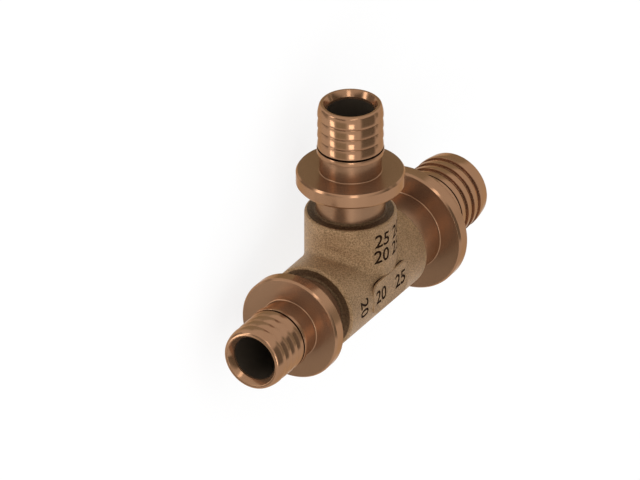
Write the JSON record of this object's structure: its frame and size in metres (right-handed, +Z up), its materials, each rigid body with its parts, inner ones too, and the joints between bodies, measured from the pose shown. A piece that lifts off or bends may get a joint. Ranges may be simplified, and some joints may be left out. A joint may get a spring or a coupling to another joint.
{
  "type": "reducing tee",
  "caption": "Cast gunmetal tee for sliding-sleeve pipe joints, with barbed spigots, round collars and a run that is larger at its far end.",
  "frame": {"origin": "where the axis of the run crosses the axis of the branch", "axes": "+X along the run towards the large end, +Y along the branch, +Z up out of the face that carries the marking pad"},
  "size_m": [0.0962, 0.0621, 0.0306],
  "materials": {
    "gunmetal": "sand-cast body with turned ends"
  },
  "bodies": {
    "root": {"tee_body": "gunmetal"}
  },
  "joints": []
}
